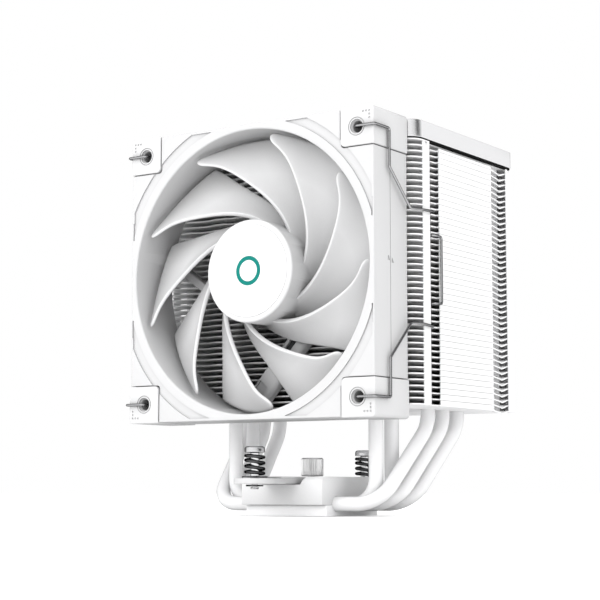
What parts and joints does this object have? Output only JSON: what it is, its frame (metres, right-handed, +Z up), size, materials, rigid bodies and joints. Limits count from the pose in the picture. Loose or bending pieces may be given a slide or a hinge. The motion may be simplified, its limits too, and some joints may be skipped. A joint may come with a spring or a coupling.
{
  "type": "cpu tower cooler",
  "caption": "Single-tower air cooler for a processor: contact base, bent heat pipes into a fin stack with a top cover, and a wire-clipped front axial fan.",
  "frame": {"origin": "centre of the contact face under the base plate", "axes": "+Z up through the tower, +Y the way the air leaves the fin stack, -Y the fan's open front, +X to the right of someone looking at the fan's front"},
  "size_m": [0.1337, 0.1133, 0.1587],
  "materials": {
    "white_coating": "satin white powder coat",
    "pipe_coating": "smooth satin white coat on bent copper tube",
    "fin_coating": "thin matt white coat on punched sheet",
    "contact_plate": "plated and milled contact plate",
    "cover_paint": "gloss white paint with soft reflections",
    "fan_frame": "fine moulded texture, white",
    "fan_blade": "smooth satin moulded white",
    "corner_pad": "white silicone rubber, fine matt",
    "badge": "printed white face with a plain ring mark",
    "bright_steel": "bright turned steel",
    "knurled_steel": "knurled, vertical grain",
    "spring_wire": "drawn bright spring wire",
    "black_steel": "black oxide, semi-gloss",
    "lamination": "stacked lamination steel",
    "winding": "enamelled copper winding",
    "sleeve": "sintered bearing bronze",
    "magnet": "bonded ferrite, matt black",
    "motor_board": "green circuit board",
    "cable_sleeve": "white cable jacket"
  },
  "bodies": {
    "heatsink": {"base_block": "white_coating", "base_plate": "contact_plate", "crossbar": "white_coating", "fin_stack": "fin_coating", "top_cover": "cover_paint", "heat_pipe_1": "pipe_coating", "heat_pipe_2": "pipe_coating", "heat_pipe_3": "pipe_coating", "heat_pipe_4": "pipe_coating", "heat_pipe_5": "pipe_coating", "washer_front": "black_steel", "washer_rear": "black_steel", "spring_front": "black_steel", "spring_rear": "black_steel"},
    "thumb_screw": {"thumb_screw": "knurled_steel"},
    "retainer_front": {"retainer_front": "bright_steel"},
    "retainer_rear": {"retainer_rear": "bright_steel"},
    "screw_front": {"spring_screw_front": "bright_steel"},
    "screw_rear": {"spring_screw_rear": "bright_steel"},
    "fan": {"fan_frame": "fan_frame", "corner_pad_top_left": "corner_pad", "corner_pad_top_right": "corner_pad", "corner_pad_bottom_left": "corner_pad", "corner_pad_bottom_right": "corner_pad", "bearing_sleeve": "sleeve", "motor_board": "motor_board", "stator_core": "lamination", "stator_coil_1": "winding", "stator_coil_2": "winding", "stator_coil_3": "winding", "stator_coil_4": "winding", "fan_cable": "cable_sleeve", "fan_plug": "fan_frame"},
    "rotor": {"impeller": "fan_blade", "hub_badge": "badge", "rotor_yoke": "bright_steel", "rotor_magnet": "magnet", "fan_shaft": "bright_steel", "shaft_washer": "magnet"},
    "clip_left": {"wire_clip_left": "spring_wire"},
    "clip_right": {"wire_clip_right": "spring_wire"}
  },
  "joints": [
    {"name": "fan_height", "type": "slide", "parent": "heatsink", "child": "fan", "axis": [0, 0, 1], "range_m": [0, 0.02]},
    {"name": "rotor_spin", "type": "hinge", "parent": "fan", "child": "rotor", "pos_m": [0, -0.035, 0.0984], "axis": [0, 1, 0], "continuous": true},
    {"name": "clip_left_swing", "type": "hinge", "parent": "fan", "child": "clip_left", "pos_m": [-0.0525, -0.0486, 0.0984], "axis": [0, 0, 1], "range_deg": [0, 28]},
    {"name": "clip_right_swing", "type": "hinge", "parent": "fan", "child": "clip_right", "pos_m": [0.0525, -0.0486, 0.0984], "axis": [0, 0, -1], "range_deg": [0, 28]},
    {"name": "screw_front_press", "type": "slide", "parent": "heatsink", "child": "retainer_front", "axis": [0, 0, 1], "range_m": [-0.0022, 0], "deforming": ["spring_front"]},
    {"name": "screw_front_turn", "type": "hinge", "parent": "retainer_front", "child": "screw_front", "pos_m": [0, -0.0415, 0.02], "axis": [0, 0, 1], "continuous": true},
    {"name": "screw_rear_press", "type": "slide", "parent": "heatsink", "child": "retainer_rear", "axis": [0, 0, 1], "range_m": [-0.0022, 0], "deforming": ["spring_rear"]},
    {"name": "screw_rear_turn", "type": "hinge", "parent": "retainer_rear", "child": "screw_rear", "pos_m": [0, 0.0415, 0.02], "axis": [0, 0, 1], "continuous": true},
    {"name": "thumb_screw_turn", "type": "hinge", "parent": "heatsink", "child": "thumb_screw", "pos_m": [0, 0, 0.02], "axis": [0, 0, 1], "continuous": true}
  ]
}
